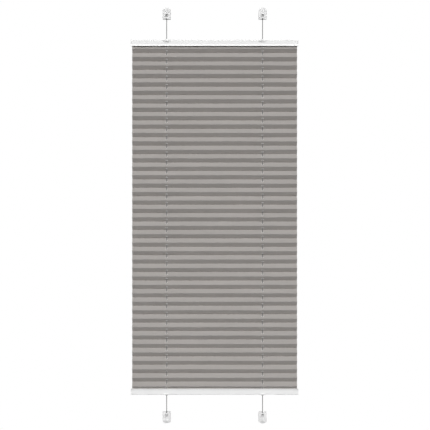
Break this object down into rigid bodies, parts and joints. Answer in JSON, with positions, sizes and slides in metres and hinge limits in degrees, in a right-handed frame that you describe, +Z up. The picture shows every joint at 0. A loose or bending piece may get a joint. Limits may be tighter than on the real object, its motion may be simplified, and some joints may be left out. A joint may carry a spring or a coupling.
{
  "type": "pleated blind",
  "caption": "Pleated window blind: a grey pleated fabric between an upper and a lower rail that slide on tensioned cords held by shoes.",
  "frame": {"origin": "centre of the whole blind's box, midway between the cords and on the plane that both cords run in", "axes": "+Z up along the cords, +X to the right across the width as seen from the front, front faces -Y"},
  "size_m": [0.4, 0.024, 0.993],
  "materials": {
    "rail_coating": "white powder coating",
    "cap_plastic": "white, satin",
    "white_plastic": "white, moulded",
    "stop_plastic": "white, moulded",
    "strip_plastic": "grey, extruded",
    "pleated_cloth": "woven polyester, crisp pleats",
    "cord_grey": "braided polyester",
    "pin_steel": "ground"
  },
  "bodies": {
    "mounting": {"upper_shoe_base_left": "white_plastic", "upper_shoe_cover_left": "white_plastic", "upper_cord_stop_left": "stop_plastic", "upper_shoe_base_right": "white_plastic", "upper_shoe_cover_right": "white_plastic", "upper_cord_stop_right": "stop_plastic", "lower_shoe_base_left": "white_plastic", "lower_shoe_cover_left": "white_plastic", "lower_cord_stop_left": "stop_plastic", "lower_shoe_base_right": "white_plastic", "lower_shoe_cover_right": "white_plastic", "lower_cord_stop_right": "stop_plastic", "cord_left": "cord_grey", "cord_right": "cord_grey"},
    "upper_rail_body": {"upper_rail": "rail_coating", "upper_fabric_strip": "strip_plastic", "upper_crossing_strand_front": "cord_grey", "upper_crossing_strand_back": "cord_grey", "upper_end_cap_left": "cap_plastic", "upper_cord_guide_left": "white_plastic", "upper_guide_pin_left": "pin_steel", "upper_end_cap_right": "cap_plastic", "upper_cord_guide_right": "white_plastic", "upper_guide_pin_right": "pin_steel", "pleated_fabric": "pleated_cloth"},
    "lower_rail_body": {"lower_rail": "rail_coating", "lower_fabric_strip": "strip_plastic", "lower_crossing_strand_front": "cord_grey", "lower_crossing_strand_back": "cord_grey", "lower_end_cap_left": "cap_plastic", "lower_cord_guide_left": "white_plastic", "lower_guide_pin_left": "pin_steel", "lower_end_cap_right": "cap_plastic", "lower_cord_guide_right": "white_plastic", "lower_guide_pin_right": "pin_steel"}
  },
  "joints": [
    {"name": "upper_rail_slide", "type": "slide", "parent": "mounting", "child": "upper_rail_body", "axis": [0, 0, 1], "range_m": [-0.038, 0.0464]},
    {"name": "lower_rail_slide", "type": "slide", "parent": "upper_rail_body", "child": "lower_rail_body", "axis": [0, 0, 1], "range_m": [0, 0.7736], "deforming": ["pleated_fabric"]}
  ]
}
